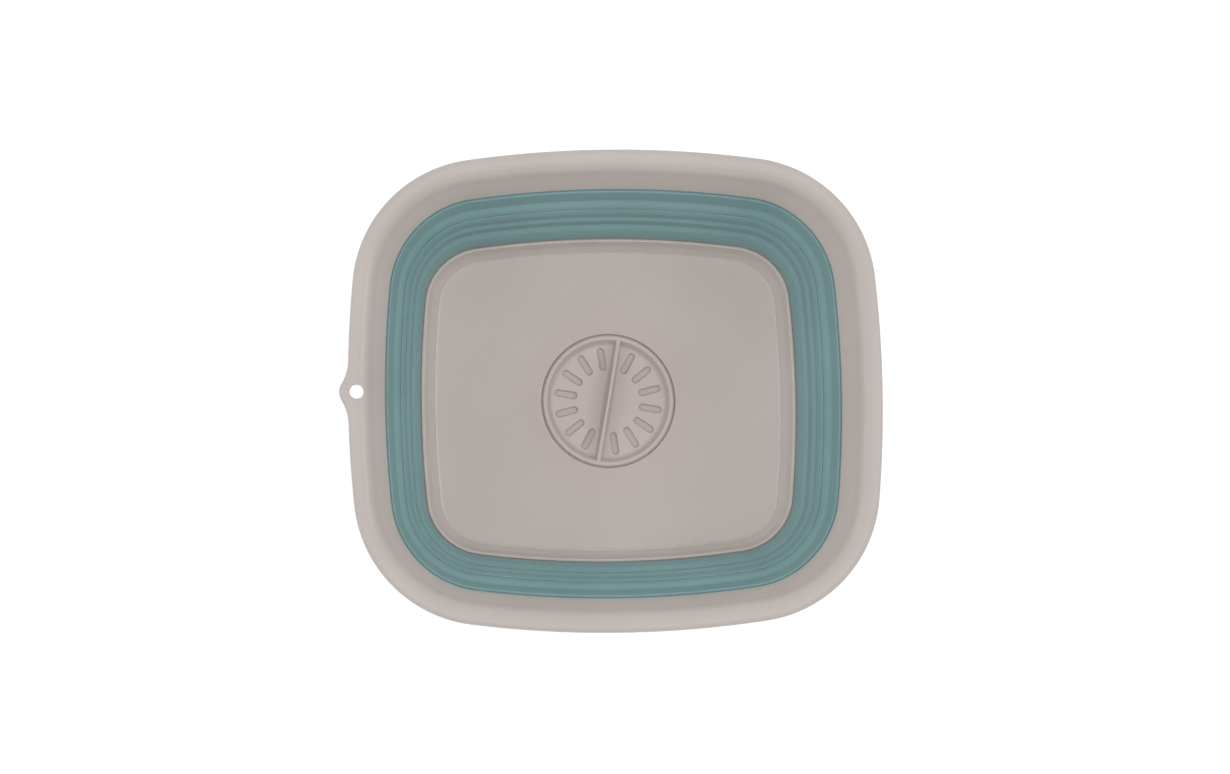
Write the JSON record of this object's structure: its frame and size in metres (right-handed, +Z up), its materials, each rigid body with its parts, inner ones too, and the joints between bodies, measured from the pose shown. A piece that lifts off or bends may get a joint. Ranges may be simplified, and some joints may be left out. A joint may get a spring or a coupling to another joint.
{
  "type": "collapsible washing up bowl",
  "caption": "Rounded rectangular washing up bowl with a stiff rim and base, a soft wall that folds flat, a hanging lug and a lift-out strainer plug over the drain.",
  "frame": {"origin": "on the table, on the axis of the drain, at the middle of the bowl", "axes": "+Z up, +X along the bowl's length with the hanging lug at -X, +Y across it"},
  "size_m": [0.38, 0.3384, 0.125],
  "materials": {
    "stiff_plastic": "satin",
    "soft_wall": "matte",
    "stopper_rubber": "matte"
  },
  "bodies": {
    "base": {"base_tray": "stiff_plastic", "lower_wall_band": "soft_wall"},
    "wall_middle": {"middle_wall_band": "soft_wall"},
    "rim": {"rim": "stiff_plastic", "upper_wall_band": "soft_wall"},
    "stopper": {"drain_stopper": "stopper_rubber"},
    "strainer": {"strainer_cup": "stiff_plastic", "stopper_retainer": "stiff_plastic"}
  },
  "joints": [
    {"name": "collapse", "type": "slide", "parent": "base", "child": "rim", "axis": [0, 0, 1], "range_m": [-0.0584, 0]},
    {"name": "middle_fold", "type": "slide", "parent": "base", "child": "wall_middle", "axis": [0, 0, 1], "range_m": [-0.0292, 0]},
    {"name": "plug_lift", "type": "slide", "parent": "base", "child": "stopper", "axis": [0, 0, 1], "range_m": [0, 0.13]},
    {"name": "plug_turn", "type": "hinge", "parent": "stopper", "child": "strainer", "pos_m": [0, 0, 0.0056], "axis": [0, 0, 1], "continuous": true}
  ],
  "couplings": [
    {"joint": "middle_fold", "follows": "collapse", "ratio": 0.5}
  ]
}
